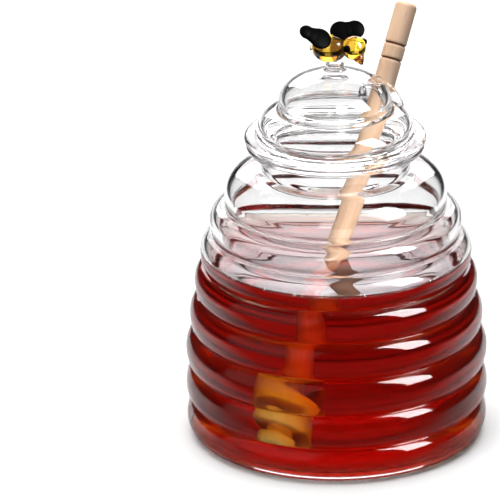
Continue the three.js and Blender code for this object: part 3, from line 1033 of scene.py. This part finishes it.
def table_paint():
    """White to the camera, and for glass a white sheet behind the jar on a dark table."""
    material, tree, shader = new_material("floor_paint")
    place = split_place(tree, object_place(tree))
    ray = add_node(tree, "LightPath").outputs
    sheet = add_node(tree, "MapRange", {"Value": table_area(tree, place, SHEET),
                                        "To Min": TABLE_TONE, "To Max": SHEET_TONE})
    tone = add_node(tree, "Mix", {"Factor": ray["Is Camera Ray"], "A": sheet.outputs["Result"],
                                  "B": PICTURE_TONE})
    near = multiply(tree, table_area(tree, place, NEAR_TABLE), ray["Is Transmission Ray"])
    set_inputs(tree, shader, {"Base Color": tone.outputs["Result"], **MATT,
                              "Emission Color": WHITE,
                              "Emission Strength": multiply(tree, near, NEAR_GLOW)})
    return material


deselect()
bpy.ops.mesh.primitive_plane_add(size=14, location=(0, 0, -0.0002))
floor = bpy.context.object
floor.name = "studio_floor"
floor.data.materials.append(table_paint())
print("staged", floor.name)

# %% World
WORLD_COLOUR, WORLD_STRENGTH = (0.95, 0.97, 1.0, 1), 0.03

world = bpy.data.worlds.new("studio")
bpy.context.scene.world = world
world.use_nodes = True
set_inputs(world.node_tree, world.node_tree.nodes["Background"],
           {"Color": WORLD_COLOUR, "Strength": WORLD_STRENGTH})
print("world strength:", WORLD_STRENGTH)

# %% [markdown]
# ## Panels and lamps
#
# A glass photographer lights with cards. A wide bright card behind is mirrored in the level
# honey and gives the clear glass its white middle, and a dim one near the horizon softens
# what shows just above the table. A broad dim card on the left lays a veil over the ribs, and
# a small bright window on the right makes their highlights. A card in front lights the wood
# through the honey, and it isn't mirrored. Cards only show in reflections and through glass.
# Two soft lamps, which the glass doesn't show, light the table and the wood outside.

# %% Glowing cards
CARD_AIM = mm(0, 0, 60)
# name, azimuth and elevation in degrees, distance, width and height in metres, strength, colour
CARDS = [("back_panel", 180, 27, 1.2, 1.1, 0.68, 4.2, (1, 0.96, 0.99, 1)),
         ("horizon", 180, 4, 1.2, 0.36, 0.36, 0.4, WHITE),
         ("left_panel", -55, 18, 1.0, 1.5, 1.5, 0.36, WHITE),
         ("right_window", 64, 37, 1.0, 0.42, 0.9, 22, WHITE),
         ("front_fill", -28, 20, 1.2, 1.0, 0.9, 18, WHITE)]
UNMIRRORED = ["front_fill"]


def seen_from(azimuth, elevation):
    """A direction from the jar. Azimuth 0 is in front, 90 on the viewer's right."""
    a, e = math.radians(azimuth), math.radians(elevation)
    return Vector((math.sin(a) * math.cos(e), -math.cos(a) * math.cos(e), math.sin(e)))


def glow(name, strength, colour):
    material, tree, shader = new_material(name)
    set_inputs(tree, shader, {"Base Color": BLACK, **MATT, "Emission Color": colour,
                              "Emission Strength": strength})
    return material


def add_card(name, azimuth, elevation, distance, width, height, strength, colour):
    """A glowing card that faces the jar."""
    way = seen_from(azimuth, elevation)
    deselect()
    bpy.ops.mesh.primitive_plane_add(size=1)
    card = bpy.context.object
    card.name = name
    card.scale = (width, height, 1)
    card.location = CARD_AIM + way * distance
    card.rotation_euler = way.to_track_quat("Z", "Y").to_euler()
    card.data.materials.append(glow(name + "_glow", strength, colour))
    card.visible_camera = False
    card.visible_diffuse = False
    card.visible_shadow = False
    card.visible_glossy = name not in UNMIRRORED
    print("card", name)


for card_values in CARDS:
    add_card(*card_values)

# %% Lamps
# name, azimuth and elevation in degrees, distance and size in metres, watts
LAMPS = [("top_lamp", 180, 84, 1.5, 2.0, 45),
         ("front_lamp", -40, 40, 2.0, 1.0, 10)]


def add_lamp(name, azimuth, elevation, distance, size, watts):
    """A round soft lamp that lights but doesn't show in the glass."""
    way = seen_from(azimuth, elevation)
    light = bpy.data.lights.new(name, "AREA")
    light.shape = "DISK"
    light.size = size
    light.energy = watts
    lamp = bpy.data.objects.new(name, light)
    lamp.location = way * distance
    lamp.rotation_euler = way.to_track_quat("Z", "Y").to_euler()
    lamp.visible_camera = False
    lamp.visible_glossy = False
    lamp.visible_transmission = False
    bpy.context.collection.objects.link(lamp)
    print("lamp", name, watts, "W")


for lamp_values in LAMPS:
    add_lamp(*lamp_values)

# %% [markdown]
# ## Picture settings
#
# A ray that crosses the jar meets outer wall, inner wall, honey and wood, and the same again
# on its way out, so it needs many bounces before it reaches the sheet. With too few, glass
# turns black. The Standard view keeps the table white and the honey's red as saturated as it
# is.

# %% Picture settings
scene = bpy.context.scene
scene.view_settings.view_transform = "Standard"
scene.cycles.use_denoising = True
scene.cycles.max_bounces = 32
scene.cycles.transmission_bounces = 28
scene.cycles.glossy_bounces = 8
scene.cycles.diffuse_bounces = 4
scene.cycles.sample_clamp_indirect = 8
print("most bounces:", scene.cycles.max_bounces)
